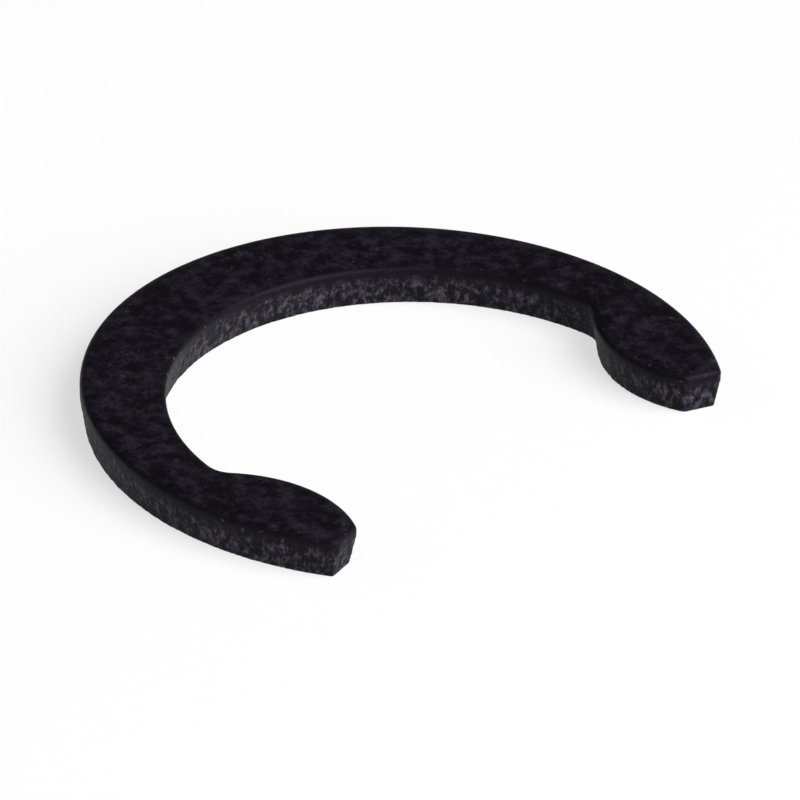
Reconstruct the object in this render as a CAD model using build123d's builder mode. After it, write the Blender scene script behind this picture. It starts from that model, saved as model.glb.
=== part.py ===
"""Open retaining clip, blanked in one piece from spring-steel strip.

The clip is pushed sideways over a shaft until its two end lugs snap past the widest point.
It then holds the shaft's groove at three places: the back of the bow and the two lugs.

Sizes are in millimetres and angles in degrees. The origin is on the shaft's axis, in the clip's
underside. +X runs out through the mouth and +Z through the thickness, to the rounded face.
"""
from build123d import *
from math import cos, radians, sin, tan
import os

# Plan, at the widest level of the edge
groove_diameter = 11.2   # circle in the shaft that the bow's back and both lugs touch
back_width = 2.4         # bow at its back, from that circle to the rim
bow_relief = 0.8         # how far the bow's inner arc swings clear of the circle at the sides
lug_angle = 72.0         # from the mouth's centre line to the point where a lug touches
lug_radius = 3.3         # crown of a lug
neck_radius = 0.7        # hollow where the bow runs into a lug
tip_angle = 17.4         # from that point on to the end face, along the rim
end_face_tilt = 17.0     # end face, away from square across the mouth
corner_radius = 0.25     # both corners of an end face

# Section, as a press tool leaves a blanked edge
thickness = 1.1          # strip
die_roll_radius = 0.2    # edge drawn round where the punch entered
land_height = 0.18       # burnished band, which stands square
fracture_angle = 10.5    # torn zone, which leans in below the land
burr_break = 0.04        # burr tumbled off the underside's edge

groove_radius = groove_diameter / 2
rim_radius = groove_radius + back_width
bow_radius = groove_radius + bow_relief
lug_centre_radius = groove_radius + lug_radius
lug_x = lug_centre_radius * cos(radians(lug_angle))
lug_y = lug_centre_radius * sin(radians(lug_angle))
tip_x = rim_radius * cos(radians(lug_angle - tip_angle))
tip_y = rim_radius * sin(radians(lug_angle - tip_angle))
mouth_x = tip_x - tip_y * tan(radians(end_face_tilt))
mouth_half_angle = 90 - end_face_tilt
fracture_height = thickness - die_roll_radius - land_height
fracture_inset = (fracture_height - burr_break) * tan(radians(fracture_angle))


def cut_wedge(apex_x, half_angle):
    """Clear the sketch between two lines that leave (apex_x, 0) at +/- half_angle from +X."""
    reach = 4 * rim_radius
    side_x = apex_x + reach * cos(radians(half_angle))
    side_y = reach * sin(radians(half_angle))
    corners = [(apex_x, 0), (side_x, -side_y), (side_x + reach, 0), (side_x, side_y)]
    Polygon(corners, align=None, mode=Mode.SUBTRACT)


def outline(height, inset):
    """Return the clip's outline at a height, with its edge set in by inset all round."""
    with BuildSketch(Plane.XY.offset(height)) as plan:
        # The bow is a crescent, thickest at the back, that ends in line with the lugs' crowns.
        Circle(rim_radius - inset)
        with Locations((bow_relief, 0)):
            Circle(bow_radius + inset, mode=Mode.SUBTRACT)
        cut_wedge(0, lug_angle)
        # Each lug is a round crown, trimmed to the rim and to its end face.
        with Locations((lug_x, lug_y), (lug_x, -lug_y)):
            Circle(lug_radius - inset)
        Circle(rim_radius - inset, mode=Mode.INTERSECT)
        cut_wedge(mouth_x - inset / sin(radians(mouth_half_angle)), mouth_half_angle)
        # The necks are the points furthest from the mouth, and the four corners the nearest.
        fillet(plan.vertices().sort_by(Axis.X)[:2], neck_radius + inset)
        fillet(plan.vertices().sort_by(Axis.X)[-4:], corner_radius)
    return plan.sketch


os.makedirs("parts", exist_ok=True)

underside = outline(0, fracture_inset + burr_break)
burr_edge = outline(burr_break, fracture_inset)
widest = outline(fracture_height, 0)

with BuildPart() as retaining_clip:
    loft([underside, burr_edge, widest], ruled=True)
    extrude(widest, amount=land_height + die_roll_radius)
    fillet(retaining_clip.faces().sort_by(Axis.Z)[-1].edges(), die_roll_radius)

retaining_clip.part.label = "retaining_clip"
export_step(retaining_clip.part, "parts/retaining_clip.step")
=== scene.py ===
"""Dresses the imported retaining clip: its blanked edge, its black oxide finish, and a plain studio."""
from collections import namedtuple
from math import acos, atan2, ceil, cos, hypot, pi, radians, sin, sqrt, tan

import bpy
import numpy as np
from bpy.props import FloatProperty, FloatVectorProperty, IntProperty, PointerProperty
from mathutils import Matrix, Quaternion, Vector, noise
from mathutils.kdtree import KDTree


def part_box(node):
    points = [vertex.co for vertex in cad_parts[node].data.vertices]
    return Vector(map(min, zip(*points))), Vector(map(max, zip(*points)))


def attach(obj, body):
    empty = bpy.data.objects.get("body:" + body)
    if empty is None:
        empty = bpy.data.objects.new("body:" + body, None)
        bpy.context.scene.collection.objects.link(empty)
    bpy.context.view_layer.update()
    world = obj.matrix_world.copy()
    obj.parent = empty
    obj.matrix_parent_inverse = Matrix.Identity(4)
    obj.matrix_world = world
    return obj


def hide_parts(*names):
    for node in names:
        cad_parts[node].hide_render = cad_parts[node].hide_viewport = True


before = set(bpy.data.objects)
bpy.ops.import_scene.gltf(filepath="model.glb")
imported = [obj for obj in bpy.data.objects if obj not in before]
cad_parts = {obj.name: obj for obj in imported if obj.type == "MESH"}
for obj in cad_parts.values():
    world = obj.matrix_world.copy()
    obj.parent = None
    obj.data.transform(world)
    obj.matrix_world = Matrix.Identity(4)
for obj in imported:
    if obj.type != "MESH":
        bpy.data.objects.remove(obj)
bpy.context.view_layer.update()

bl_info = {
    "name": "Retaining Clip",
    "version": (1, 0, 0),
    "blender": (4, 5, 0),
    "location": "3D View > Sidebar > Clip",
    "description": "Builds an open retaining clip with a blanked edge and a black oxide finish",
    "category": "Object",
}

MM = 0.001
NODE = "retaining_clip"
LOW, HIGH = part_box(NODE)
RIM_RADIUS = (HIGH.y - LOW.y) / 2
TRACE_STEP = 0.005 * MM
FLOOR_GAP = 0.005 * MM

# An arc's side is 1 where the metal lies inside it, and -1 where it lies outside.
Arc = namedtuple("Arc", "centre radius start sweep side")
Line = namedtuple("Line", "start end")

# A traced row is x, y, the inward normal's x and y, and the curvature. This mirrors it to the lower half.
LOWER_HALF = np.array([1, -1, 1, -1, 1])


def linear(hex_colour):
    """Turn an sRGB hex colour into linear red, green and blue, with an alpha of 1."""
    channels = [int(hex_colour[i:i + 2], 16) / 255 for i in (1, 3, 5)]
    return (*[c / 12.92 if c <= 0.04045 else ((c + 0.055) / 1.055) ** 2.4 for c in channels], 1.0)


def length(name, description, millimetres):
    """Return a property that holds a length."""
    return FloatProperty(name=name, description=description, default=millimetres * MM, min=0.0,
                         precision=5, unit="LENGTH")


def angle(name, description, degrees):
    """Return a property that holds an angle."""
    return FloatProperty(name=name, description=description, default=radians(degrees), unit="ROTATION")


def power(name, description, watts):
    """Return a property that holds a lamp's power."""
    return FloatProperty(name=name, description=description, default=watts, min=0.0, unit="POWER")


def colour(name, description, hex_colour):
    """Return a property that holds a colour."""
    return FloatVectorProperty(name=name, description=description, default=linear(hex_colour), size=4,
                               min=0.0, max=1.0, subtype="COLOR")


class ClipPlan(bpy.types.PropertyGroup):
    """The clip seen from above. Its rim and its thickness come from the frame."""

    back_width: length("Back width", "Bow at its back, from the groove to the rim", 2.4)
    bow_relief: length("Bow relief", "Room between the bow's sides and the groove", 0.8)
    lug_angle: angle("Lug angle", "From the mouth's centre line to a lug's crown", 72.0)
    lug_radius: length("Lug radius", "Crown of a lug", 3.3)
    neck_radius: length("Neck radius", "Hollow where the bow runs into a lug", 0.7)
    tip_angle: angle("Tip angle", "From a lug's crown on to its end face, along the rim", 17.4)
    end_face_tilt: angle("End face tilt", "Away from square across the mouth", 17.0)
    corner_radius: length("Corner radius", "Both corners of an end face", 0.25)


class ClipEdge(bpy.types.PropertyGroup):
    """The blanked edge, from the rounded face down to the burr, and the mesh that carries it."""

    roll_depth: length("Die roll depth", "Height of the drawn edge", 0.2)
    roll_width: length("Die roll width", "Steep part of the drawn edge", 0.19)
    land_height: length("Land height", "Burnished band below the roll", 0.18)
    land_wander: length("Land wander", "How far the lower line of the land wanders", 0.06)
    tear_angle: angle("Tear angle", "Lean of the torn band", 10.5)
    tear_depth: length("Tear depth", "Roughness of the torn band", 0.025)
    burr_break: length("Burr break", "Burr tumbled off the lower edge", 0.04)
    cuts_along: IntProperty(name="Cuts along", description="Mesh cuts along each side", default=640, min=60)
    cuts_across: IntProperty(name="Cuts across", description="Mesh cuts across each face", default=38, min=6)


class ClipFinish(bpy.types.PropertyGroup):
    """Black oxide, as it looks on the rolled faces and on the torn band."""

    oxide: colour("Oxide", "Black oxide on the rolled faces", "#0e0c11")
    thin_oxide: colour("Thin oxide", "Mottling, where the oxide is thinner", "#28242e")
    torn_oxide: colour("Torn oxide", "Black oxide in the hollows of the torn band", "#0b0a0e")
    # Torn grains: a painted highlight, the light that the grain tops of the torn band catch, painted into
    # their colour.
    painted_grain_highlight: colour("Torn grains", "Raised grains of the torn band", "#4a4652")
    steel: colour("Rubbed steel", "Steel where an edge has rubbed bare", "#8f8c94")
    gloss: colour("Gloss", "Tint of the gloss of the oil in the oxide", "#e4def2")


class ClipStage(bpy.types.PropertyGroup):
    """Floor, room, lamps and camera."""

    paper: colour("Paper", "Pale floor", "#fdfdfd")
    paper_size: length("Paper size", "Side of the floor", 3000.0)
    own_white: FloatProperty(name="Own white", description="Share of the floor's look that no shadow reaches",
                             default=0.65, min=0.0, max=1.0, subtype="FACTOR")
    card: colour("Card", "White card round the paper", "#ffffff")
    room: colour("Room", "Dim room above the card", "#303032")
    left_power: power("Left power", "Softbox on the camera's left", 0.4)
    left_bearing: angle("Left bearing", "Left softbox, round from the camera", -90.0)
    left_height: angle("Left height", "Left softbox above the floor", 50.0)
    right_power: power("Right power", "Softbox on the camera's right", 13.5)
    right_bearing: angle("Right bearing", "Right softbox, round from the camera", 58.0)
    right_height: angle("Right height", "Right softbox above the floor", 38.0)
    softbox_distance: length("Softbox distance", "From the clip to each softbox", 800.0)
    azimuth: angle("Azimuth", "Bearing of the camera round the clip", 46.0)
    elevation: angle("Elevation", "Height of the camera above the floor", 30.0)
    roll: angle("Roll", "Tilt of the camera to its left", 1.9)
    frame_width: length("Frame width", "Width of the view at the clip", 19.8)
    lens: FloatProperty(name="Lens", description="Focal length", default=800.0, unit="CAMERA")


# Plan of the clip


def around(centre, radius, bearing):
    """Return the point at a radius and a bearing from a centre."""
    return centre + radius * np.array([cos(bearing), sin(bearing)])


def bearing_of(centre, point):
    """Return the bearing of a point from a centre."""
    return atan2(point[1] - centre[1], point[0] - centre[0])


def circles_meet(first, first_radius, second, second_radius):
    """Return where two circles meet, left of the way from the first centre to the second."""
    gap = hypot(*(second - first))
    turn = acos((first_radius ** 2 + gap ** 2 - second_radius ** 2) / (2 * gap * first_radius))
    return around(first, first_radius, bearing_of(first, second) + turn)


def line_meets_circle(facing, reach, centre, radius):
    """Return the lower and the upper point of a circle on the line that lies reach away along facing."""
    offset = reach - facing @ centre
    along = sqrt(radius ** 2 - offset ** 2) * np.array([-facing[1], facing[0]])
    return centre + offset * facing - along, centre + offset * facing + along


def arc(centre, radius, start, end, turn, side):
    """Return the arc from start to end, turning left (1) or right (-1)."""
    first = bearing_of(centre, start)
    sweep = (turn * (bearing_of(centre, end) - first)) % (2 * pi)
    return Arc(centre, radius, first, turn * sweep, side)


def halves(bend):
    """Cut an arc in two."""
    half = bend.sweep / 2
    return bend._replace(sweep=half), bend._replace(start=bend.start + half, sweep=half)


def upper_outline(plan):
    """Return the upper half's inner side, end face and rim, each a run from the back or the inner corner."""
    shaft = np.zeros(2)
    groove_radius = RIM_RADIUS - plan.back_width
    bow = np.array([plan.bow_relief, 0.0])
    bow_radius = groove_radius + plan.bow_relief
    lug = around(shaft, groove_radius + plan.lug_radius, plan.lug_angle)
    neck = circles_meet(bow, bow_radius - plan.neck_radius, lug, plan.lug_radius + plan.neck_radius)
    bow_end = bow + (neck - bow) * bow_radius / (bow_radius - plan.neck_radius)
    crown_start = neck + (lug - neck) * plan.neck_radius / (plan.lug_radius + plan.neck_radius)

    tip = around(shaft, RIM_RADIUS, plan.lug_angle - plan.tip_angle)
    facing = np.array([cos(plan.end_face_tilt), -sin(plan.end_face_tilt)])
    reach = facing @ tip - plan.corner_radius
    inner_corner, _ = line_meets_circle(facing, reach, lug, plan.lug_radius - plan.corner_radius)
    _, outer_corner = line_meets_circle(facing, reach, shaft, RIM_RADIUS - plan.corner_radius)
    crown_end = lug + (inner_corner - lug) * plan.lug_radius / (plan.lug_radius - plan.corner_radius)
    face_start = inner_corner + facing * plan.corner_radius
    face_end = outer_corner + facing * plan.corner_radius
    rim_start = outer_corner * RIM_RADIUS / (RIM_RADIUS - plan.corner_radius)

    from_crown, to_face = halves(arc(inner_corner, plan.corner_radius, crown_end, face_start, 1, 1))
    from_face, to_rim = halves(arc(outer_corner, plan.corner_radius, face_end, rim_start, 1, 1))
    inner_side = [
        arc(bow, bow_radius, bow - (bow_radius, 0.0), bow_end, -1, -1),
        arc(neck, plan.neck_radius, bow_end, crown_start, -1, -1),
        arc(lug, plan.lug_radius, crown_start, crown_end, 1, 1),
        from_crown,
    ]
    end_face = [to_face, Line(face_start, face_end), from_face]
    rim = [to_rim, arc(shaft, RIM_RADIUS, rim_start, np.array([-RIM_RADIUS, 0.0]), 1, 1)]
    return trace(inner_side), trace(end_face), trace(rim)[::-1]


def trace(run):
    """Sample a run finely, as rows. The curvature is above 0 at a bulge."""
    rows = []
    for part in run:
        if isinstance(part, Line):
            way = part.end - part.start
            inward = np.array([-way[1], way[0]]) / hypot(*way)
            for share in np.linspace(0, 1, ceil(hypot(*way) / TRACE_STEP) + 1):
                rows.append((*(part.start + share * way), *inward, 0.0))
        else:
            for share in np.linspace(0, 1, ceil(abs(part.sweep) * part.radius / TRACE_STEP) + 1):
                outward = around(np.zeros(2), 1.0, part.start + share * part.sweep)
                rows.append((*(part.centre + part.radius * outward), *(-part.side * outward),
                             part.side / part.radius))
    return np.array(rows)


def whole_side(rows):
    """Follow a side of the upper half from the lower tip, round the back, to the upper tip."""
    return np.vstack([rows[:0:-1] * LOWER_HALF, rows])


def eased(count, share):
    """Return count + 1 numbers from 0 to 1, drawn together at both ends."""
    even = np.linspace(0, 1, count + 1)
    return even - share * np.sin(2 * pi * even) / (2 * pi)


def picked(rows, shares):
    """Pick rows at shares of a run's length."""
    run = np.concatenate([[0], np.cumsum(np.hypot(*np.diff(rows[:, :2], axis=0).T))])
    return np.stack([np.interp(shares * run[-1], run, column) for column in rows.T], axis=1)


def outline_loop(plan, along, across):
    """Return the outline as a closed loop, metal on its left: inner side, upper end, rim, lower end."""
    inner_side, end_face, rim = upper_outline(plan)
    inner = picked(whole_side(inner_side), along)
    upper = picked(end_face, across)
    outer = picked(whole_side(rim), along)
    return np.vstack([inner, upper[1:-1], outer[::-1], (upper * LOWER_HALF)[-2:0:-1]])


# Blanked edge


def smooth_step(low, high, value):
    """Rise smoothly from 0 at low to 1 at high."""
    share = np.clip((value - low) / (high - low), 0, 1)
    return share * share * (3 - 2 * share)


def lumps(points, size):
    """Return fractal noise, about -1 to 1, with lumps of that size."""
    smoothness, finer, octaves = 1.0, 2.0, 3
    return np.array([noise.fractal(Vector(point) / size, smoothness, finer, octaves) for point in points])


def seams(points, size):
    """Return 1 on the seams between grains of that size, and 0 inside them."""
    sharpness = 2.5
    reach = (noise.voronoi(Vector(point) / size)[0] for point in points)
    return np.array([1 - min(sharpness * (second - first), 1) for first, second, *_ in reach])


def roll_drop(edge, shares):
    """Return how far the drawn edge lies below its face. A share of 1 is one roll width in.

    A long, fine tail follows it, as the die draws the face down well inside the edge.
    """
    steepness, tail = 2.8, 0.6
    return edge.roll_depth * np.exp(-steepness * shares ** tail)


def roll_widths(loop, edge):
    """Return the roll's width along the loop. The die draws more metal over a corner than into a hollow."""
    draw = 0.05 * MM
    reach = 20
    window = np.hanning(2 * reach + 1)
    wrapped = np.concatenate([loop[-reach:, 4], loop[:, 4], loop[:reach, 4]])
    return edge.roll_width * (1 + draw * np.convolve(wrapped, window / window.sum(), mode="valid"))


def edge_rings(loop, widths, edge):
    """Return the rings from the rounded face to the burr face, and how torn, burnished and rubbed each is."""
    rings = []

    # Die roll. The first shares are wide apart, and the last are close, where the edge is steep.
    for share in (1, 0.78, 0.58, 0.41, 0.28, 0.17, 0.09, 0.035, 0.008):
        rings.append((share * widths, HIGH.z - roll_drop(edge, share), 0, 1 - share, 0.5 * (1 - share) ** 2))

    # Land. Its lower line wanders in long waves with short ones on them, and tearing starts above it.
    flat = np.column_stack([loop[:, :2], np.zeros(len(loop))])
    wander = 0.7 * lumps(flat, 0.9 * MM) + 0.5 * lumps(flat, 0.25 * MM)
    first_torn = 0.6
    land_top = HIGH.z - edge.roll_depth
    land_line = land_top - edge.land_height + edge.land_wander * wander
    for share in (0, 0.33, 0.66, 0.9):
        rings.append((0, land_top + share * (land_line - land_top), first_torn * share, 1, 0.3))

    # Torn band
    torn_height = land_line - LOW.z - edge.burr_break
    lean = tan(edge.tear_angle)
    for share in np.linspace(0, 1, 15):
        rings.append((share * torn_height * lean, land_line - share * torn_height,
                      first_torn + (1 - first_torn) * smooth_step(0, 0.15, share), 0,
                      smooth_step(0.9, 1, share)))

    # Burr break, a small chamfer with a rounded shoulder
    broken = edge.burr_break * (0.8 + 0.2 * lumps(flat, 0.3 * MM))
    foot = torn_height * lean
    rings.append((foot + 0.3 * broken, LOW.z + 0.35 * broken, 1, 0, 1))
    rings.append((foot + broken, LOW.z, 1, 0, 0.8))

    size = len(loop)
    insets, heights, torn, burnished, rubbed = (
        np.array([np.broadcast_to(column, size) for column in columns], dtype=float)
        for columns in zip(*rings))
    points = np.dstack([loop[:, :2] + loop[:, 2:4] * insets[..., None], heights])
    points[..., :2] += loop[:, 2:4] * (torn * tear(points, edge))[..., None]
    return points, torn, burnished, rubbed


def tear(points, edge):
    """Return the depth of the torn band's scoops, of its streaks down the stroke, and of its grain seams."""
    flat = points.reshape(-1, 3)
    scoops = 0.5 + 0.5 * lumps(flat, 0.45 * MM)
    streaks = 0.5 + 0.5 * lumps(flat * (1, 1, 0.3), 0.12 * MM)
    cut = 0.25 * scoops + 0.4 * streaks + 0.4 * seams(flat, 0.13 * MM)
    return (edge.tear_depth * np.clip(cut, 0, 1)).reshape(points.shape[:2])


# Mesh


def face_grid(border, along, across):
    """Fill a face between its border's four sides, blended from side to side. The border's points stay."""
    n, m = len(along) - 1, len(across) - 1
    index = np.empty((n + 1, m + 1), dtype=int)
    index[:, 0] = np.arange(n + 1)
    index[n, :] = np.arange(n, n + m + 1)
    index[:, m] = np.arange(2 * n + m, n + m - 1, -1)
    index[0, :] = np.r_[0, np.arange(2 * n + 2 * m - 1, 2 * n + m - 1, -1)]
    u, v = along[:, None, None], across[None, :, None]
    inner, outer, lower, upper = (border[i] for i in (index[:, 0], index[:, m], index[0], index[n]))
    grid = ((1 - v) * inner[:, None] + v * outer[:, None] + (1 - u) * lower[None] + u * upper[None]
            - (1 - u) * ((1 - v) * inner[0] + v * outer[0]) - u * ((1 - v) * inner[n] + v * outer[n]))
    return index, grid


def quads(index):
    """Return the quads of a grid of point numbers, facing up if its rows run forward and its columns left."""
    corners = index[:-1, :-1], index[1:, :-1], index[1:, 1:], index[:-1, 1:]
    return np.stack(corners, axis=-1).reshape(-1, 4)


def clip_mesh(plan, edge):
    """Return the clip's mesh, with its torn, burnished and rubbed shares as attributes."""
    along, across = eased(edge.cuts_along, 0.3), eased(edge.cuts_across, 0.35)
    loop = outline_loop(plan, along, across)
    widths = roll_widths(loop, edge)
    rings, *shares = edge_rings(loop, widths, edge)
    count, size = rings.shape[:2]

    nearest = KDTree(size)
    for number, row in enumerate(loop):
        nearest.insert((row[0], row[1], 0), number)
    nearest.balance()

    points = [rings.reshape(-1, 3)]
    total = count * size
    wall = np.arange(total).reshape(count, size)
    wall = np.hstack([wall, wall[:, :1]]).T
    faces = [quads(wall)[:, ::-1]]
    for ring, is_top in ((0, True), (count - 1, False)):
        index, grid = face_grid(rings[ring], along, across)
        index += ring * size
        inside = grid[1:-1, 1:-1].reshape(-1, 3)
        if is_top:
            found = (nearest.find((x, y, 0)) for x, y, _ in inside)
            inside[:, 2] = [
                HIGH.z - roll_drop(edge, distance / widths[number]) for _, number, distance in found]
        index[1:-1, 1:-1] = total + np.arange(len(inside)).reshape(grid.shape[0] - 2, grid.shape[1] - 2)
        total += len(inside)
        points.append(inside)
        faces.append(quads(index) if is_top else quads(index)[:, ::-1])

    mesh = bpy.data.meshes.new("clip_steel")
    mesh.from_pydata(np.vstack(points).tolist(), [], np.vstack(faces).tolist())
    mesh.shade_smooth()
    for name, share in zip(("torn", "burnished", "rubbed"), shares):
        values = np.zeros(total, dtype=np.float32)
        values[:count * size] = share.ravel()
        mesh.attributes.new(name, "FLOAT", "POINT").data.foreach_set("value", values)
    if mesh.validate(verbose=True):
        raise RuntimeError("the clip's mesh had faults")
    return mesh


# Finish


def add_node(tree, kind, inputs=(), **settings):
    """Add a node with its settings. inputs gives each socket its value, or the output to link to it."""
    node = tree.nodes.new(kind)
    for name, value in settings.items():
        setattr(node, name, value)
    for socket, value in dict(inputs).items():
        if isinstance(value, bpy.types.NodeSocket):
            tree.links.new(value, node.inputs[socket])
        else:
            node.inputs[socket].default_value = value
    return node


def new_material(name):
    """Return a new material and its empty node tree."""
    material = bpy.data.materials.new(name)
    material.use_nodes = True
    material.node_tree.nodes.clear()
    return material, material.node_tree


def oiled_black_oxide(finish):
    """Return the finish of the whole clip: oiled black oxide on blanked, tumbled spring steel.

    The hot bath turns the steel's skin to magnetite. On the rolled faces it looks near black and satin, a
    little violet and softly mottled. The die roll and the land are burnished, so they are the darkest and
    have no mottling. The torn band's grains face every way, and the light they catch is painted into its
    colour as a painted highlight on the grain tops, so it looks paler; it is also duller and sandy. Tumbling
    has rubbed specks of steel bare along the edges. The oxide is porous and takes in most of the light
    """
    material, tree = new_material("oiled_black_oxide")
    place = add_node(tree, "ShaderNodeTexCoord").outputs["Object"]
    torn, burnished, rubbed = (
        add_node(tree, "ShaderNodeAttribute", attribute_name=name).outputs["Fac"]
        for name in ("torn", "burnished", "rubbed"))

    # Oxide mottling is about 0.4 mm across. Its grain is 0.03 mm, and drawn here at 0.08 mm so that it shows.
    mottling = add_node(tree, "ShaderNodeTexNoise", {
        "Vector": place, "Scale": 1 / (0.4 * MM), "Detail": 6.0, "Roughness": 0.8})
    grain = add_node(tree, "ShaderNodeTexNoise", {
        "Vector": place, "Scale": 1 / (0.08 * MM), "Detail": 2.0, "Roughness": 0.55})
    thin = add_node(tree, "ShaderNodeMapRange", {
        "Value": mottling.outputs["Fac"], "From Min": 0.42, "From Max": 0.68},
        interpolation_type="SMOOTHSTEP")
    face_colour = add_node(tree, "ShaderNodeMix", {
        "Factor": thin.outputs["Result"], "A": finish.oxide, "B": finish.thin_oxide}, data_type="RGBA")
    smooth_colour = add_node(tree, "ShaderNodeMix", {
        "Factor": burnished, "A": face_colour.outputs["Result"], "B": finish.oxide}, data_type="RGBA")

    # Torn grains are about 0.16 mm across, and drawn out down the stroke. Their tops are painted paler, a
    # painted highlight, while the hollows keep the black oxide.
    stretched = add_node(tree, "ShaderNodeMapping", {"Vector": place, "Scale": (1.0, 1.0, 0.6)})
    tearing = add_node(tree, "ShaderNodeTexNoise", {
        "Vector": stretched.outputs["Vector"], "Scale": 1 / (0.16 * MM), "Detail": 5.0, "Roughness": 0.75})
    grain_highlight_mask = add_node(tree, "ShaderNodeMapRange", {
        "Value": tearing.outputs["Fac"], "From Min": 0.45, "From Max": 0.67},
        interpolation_type="SMOOTHSTEP")
    torn_colour = add_node(tree, "ShaderNodeMix", {
        "Factor": grain_highlight_mask.outputs["Result"], "A": finish.torn_oxide, "B": finish.painted_grain_highlight},
        data_type="RGBA")
    oxide_colour = add_node(tree, "ShaderNodeMix", {
        "Factor": torn, "A": smooth_colour.outputs["Result"], "B": torn_colour.outputs["Result"]},
        data_type="RGBA")

    # Rubbed specks are about 0.25 mm apart, many along the edges and a faint few on the faces.
    specks = add_node(tree, "ShaderNodeTexNoise", {
        "Vector": place, "Scale": 1 / (0.25 * MM), "Detail": 5.0, "Roughness": 0.7})
    speck = add_node(tree, "ShaderNodeMapRange", {
        "Value": specks.outputs["Fac"], "From Min": 0.6, "From Max": 0.75}, interpolation_type="SMOOTHSTEP")
    wear = add_node(tree, "ShaderNodeMath", {0: rubbed, 1: 0.12}, operation="ADD", use_clamp=True)
    bare = add_node(tree, "ShaderNodeMath", {
        0: speck.outputs["Result"], 1: wear.outputs["Value"]}, operation="MULTIPLY")
    skin_colour = add_node(tree, "ShaderNodeMix", {
        "Factor": bare.outputs["Value"], "A": oxide_colour.outputs["Result"], "B": finish.steel},
        data_type="RGBA")

    # Thin oxide is duller than thick oxide. The burnished bands lie between them, and the torn band is dull.
    face_gloss = add_node(tree, "ShaderNodeMapRange", {
        "Value": thin.outputs["Result"], "To Min": 0.42, "To Max": 0.6})
    land_gloss = add_node(tree, "ShaderNodeMix", {
        "Factor": burnished, "A": face_gloss.outputs["Result"], "B": 0.5})
    gloss = add_node(tree, "ShaderNodeMix", {"Factor": torn, "A": land_gloss.outputs["Result"], "B": 0.6})

    fine_relief = add_node(tree, "ShaderNodeBump", {
        "Height": grain.outputs["Fac"], "Strength": 1.0, "Distance": 0.004 * MM})
    torn_height = add_node(tree, "ShaderNodeMath", {0: tearing.outputs["Fac"], 1: torn}, operation="MULTIPLY")
    relief = add_node(tree, "ShaderNodeBump", {
        "Height": torn_height.outputs["Value"], "Strength": 1.0, "Distance": 0.03 * MM,
        "Normal": fine_relief.outputs["Normal"]})
    surface = add_node(tree, "ShaderNodeBsdfPrincipled", {
        "Base Color": skin_colour.outputs["Result"], "Metallic": bare.outputs["Value"],
        "Roughness": gloss.outputs["Result"], "Normal": relief.outputs["Normal"], "Specular IOR Level": 0.1,
        "Specular Tint": finish.gloss})
    add_node(tree, "ShaderNodeOutputMaterial", {"Surface": surface.outputs["BSDF"]})
    return material


class CLIP_OT_blank_clip(bpy.types.Operator):
    """Build the clip with its blanked edge, and give it its black oxide"""

    bl_idname = "clip.blank_clip"
    bl_label = "Blank Clip"
    bl_options = {"REGISTER", "UNDO"}

    def execute(self, context):
        scene = context.scene
        clip = bpy.data.objects.new("clip_steel", clip_mesh(scene.clip_plan, scene.clip_edge))
        clip.data.materials.append(oiled_black_oxide(scene.clip_finish))
        scene.collection.objects.link(clip)
        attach(clip, "root")
        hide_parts(NODE)
        return {"FINISHED"}


# Stage


def matt_paper(stage):
    """Return the floor's finish: matt coated paper, flat and near white, with no gloss to mirror the clip.

    To the camera, to gloss and through glass it is part white of its own, so the shadow on it stays faint.
    """
    material, tree = new_material("matt_paper")
    paper = add_node(tree, "ShaderNodeBsdfDiffuse", {"Color": stage.paper})
    white = add_node(tree, "ShaderNodeEmission", {"Color": (1.0, 1.0, 1.0, 1.0), "Strength": 1.0})
    ray = add_node(tree, "ShaderNodeLightPath")
    seen = add_node(tree, "ShaderNodeMath", {
        0: ray.outputs["Is Camera Ray"], 1: ray.outputs["Is Glossy Ray"]}, operation="MAXIMUM")
    seen = add_node(tree, "ShaderNodeMath", {
        0: seen.outputs["Value"], 1: ray.outputs["Is Transmission Ray"]}, operation="MAXIMUM")
    lift = add_node(tree, "ShaderNodeMath", {
        0: seen.outputs["Value"], 1: stage.own_white}, operation="MULTIPLY")
    surface = add_node(tree, "ShaderNodeMixShader", {
        0: lift.outputs["Value"], 1: paper.outputs["BSDF"], 2: white.outputs["Emission"]})
    add_node(tree, "ShaderNodeOutputMaterial", {"Surface": surface.outputs["Shader"]})
    return material


def lay_paper(scene, stage, level):
    """Lay the floor at that level."""
    half = stage.paper_size / 2
    corners = [(x * half, y * half, level) for x, y in ((-1, -1), (1, -1), (1, 1), (-1, 1))]
    mesh = bpy.data.meshes.new("floor")
    mesh.from_pydata(corners, [], [(0, 1, 2, 3)])
    mesh.materials.append(matt_paper(stage))
    floor = bpy.data.objects.new("floor", mesh)
    scene.collection.objects.link(floor)


def dim_room(scene, stage):
    """Surround the floor with white card, which fades at 2 to 6 degrees up, and a dim room above it."""
    scene.world = bpy.data.worlds.new("room")
    scene.world.use_nodes = True
    tree = scene.world.node_tree
    tree.nodes.clear()
    direction = add_node(tree, "ShaderNodeTexCoord").outputs["Generated"]
    height = add_node(tree, "ShaderNodeSeparateXYZ", {"Vector": direction}).outputs["Z"]
    above = add_node(tree, "ShaderNodeMapRange", {
        "Value": height, "From Min": 0.04, "From Max": 0.1}, interpolation_type="SMOOTHSTEP")
    room = add_node(tree, "ShaderNodeMix", {
        "Factor": above.outputs["Result"], "A": stage.card, "B": stage.room}, data_type="RGBA")
    light = add_node(tree, "ShaderNodeBackground", {"Color": room.outputs["Result"]})
    add_node(tree, "ShaderNodeOutputWorld", {"Surface": light.outputs["Background"]})


def camera_axes(bearing, height):
    """Return the camera's right, up and backward axes."""
    right = Vector((cos(bearing), sin(bearing), 0.0))
    back = Vector((sin(bearing) * cos(height), -cos(bearing) * cos(height), sin(height)))
    return right, back.cross(right), back


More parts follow.
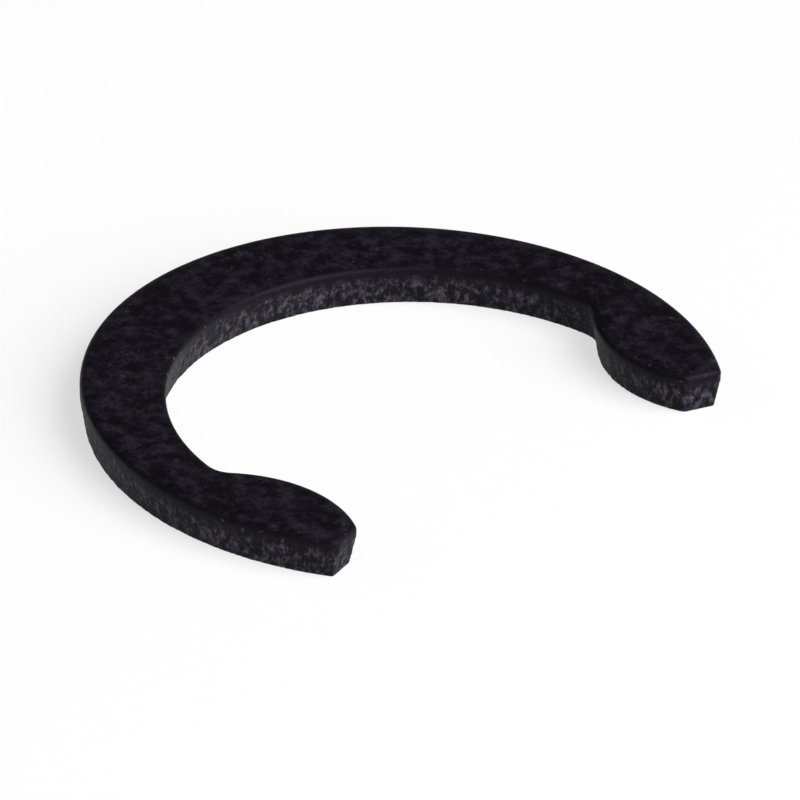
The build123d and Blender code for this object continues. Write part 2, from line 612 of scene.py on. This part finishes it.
def hang_softbox(scene, name, side, distance, bearing, height, watts):
    """Hang a square lamp that faces the clip, where a camera of that bearing and height would stand."""
    _, _, back = camera_axes(bearing, height)
    lamp = bpy.data.lights.new(name, "AREA")
    lamp.shape, lamp.size, lamp.energy = "SQUARE", side, watts
    hung = bpy.data.objects.new(name, lamp)
    hung.location = back * distance
    hung.rotation_euler = back.to_track_quat("Z", "Y").to_euler()
    scene.collection.objects.link(hung)


def place_camera(scene, stage, points):
    """Point the camera at the middle of what it sees of the clip."""
    axes = camera_axes(stage.azimuth, stage.elevation)
    aim = Vector()
    for axis in axes:
        reach = [point.dot(axis) for point in points]
        aim += axis * (min(reach) + max(reach)) / 2
    lens = bpy.data.cameras.new("camera")
    lens.lens = stage.lens
    lens.clip_start, lens.clip_end = 10 * MM, 10000 * MM
    camera = bpy.data.objects.new("camera", lens)
    back = axes[-1]
    camera.location = aim + back * stage.frame_width * stage.lens / lens.sensor_width
    upright = back.to_track_quat("Z", "Y")
    camera.rotation_euler = (upright @ Quaternion((0, 0, 1), stage.roll)).to_euler()
    scene.collection.objects.link(camera)
    scene.camera = camera


class CLIP_OT_set_stage(bpy.types.Operator):
    """Lay the floor, light it, and place the camera"""

    bl_idname = "clip.set_stage"
    bl_label = "Set Stage"
    bl_options = {"REGISTER", "UNDO"}

    def execute(self, context):
        scene, stage = context.scene, context.scene.clip_stage
        lay_paper(scene, stage, LOW.z - FLOOR_GAP)
        dim_room(scene, stage)
        for name, side, bearing, height, watts in (
                ("left_softbox", 800 * MM, stage.left_bearing, stage.left_height, stage.left_power),
                ("right_softbox", 900 * MM, stage.right_bearing, stage.right_height, stage.right_power)):
            hang_softbox(scene, name, side, stage.softbox_distance, stage.azimuth + bearing, height, watts)
        place_camera(scene, stage, [vertex.co for vertex in bpy.data.objects["clip_steel"].data.vertices])
        scene.view_settings.view_transform = "Standard"
        return {"FINISHED"}


class CLIP_PT_sidebar(bpy.types.Panel):
    """The clip's operators and sizes"""

    bl_idname = "CLIP_PT_sidebar"
    bl_label = "Retaining Clip"
    bl_space_type = "VIEW_3D"
    bl_region_type = "UI"
    bl_category = "Clip"

    def draw(self, context):
        for operator, groups in (
                ("clip.blank_clip", ("clip_plan", "clip_edge", "clip_finish")),
                ("clip.set_stage", ("clip_stage",))):
            self.layout.operator(operator)
            for name in groups:
                group = getattr(context.scene, name)
                box = self.layout.box()
                for size in type(group).__annotations__:
                    box.prop(group, size)


GROUPS = {"clip_plan": ClipPlan, "clip_edge": ClipEdge, "clip_finish": ClipFinish, "clip_stage": ClipStage}
CLASSES = (*GROUPS.values(), CLIP_OT_blank_clip, CLIP_OT_set_stage, CLIP_PT_sidebar)


def register():
    for cls in CLASSES:
        bpy.utils.register_class(cls)
    for name, group in GROUPS.items():
        setattr(bpy.types.Scene, name, PointerProperty(type=group))


def unregister():
    for name in GROUPS:
        delattr(bpy.types.Scene, name)
    for cls in reversed(CLASSES):
        bpy.utils.unregister_class(cls)


def main():
    register()
    bpy.ops.clip.blank_clip()
    bpy.ops.clip.set_stage()


if __name__ == "__main__":
    main()
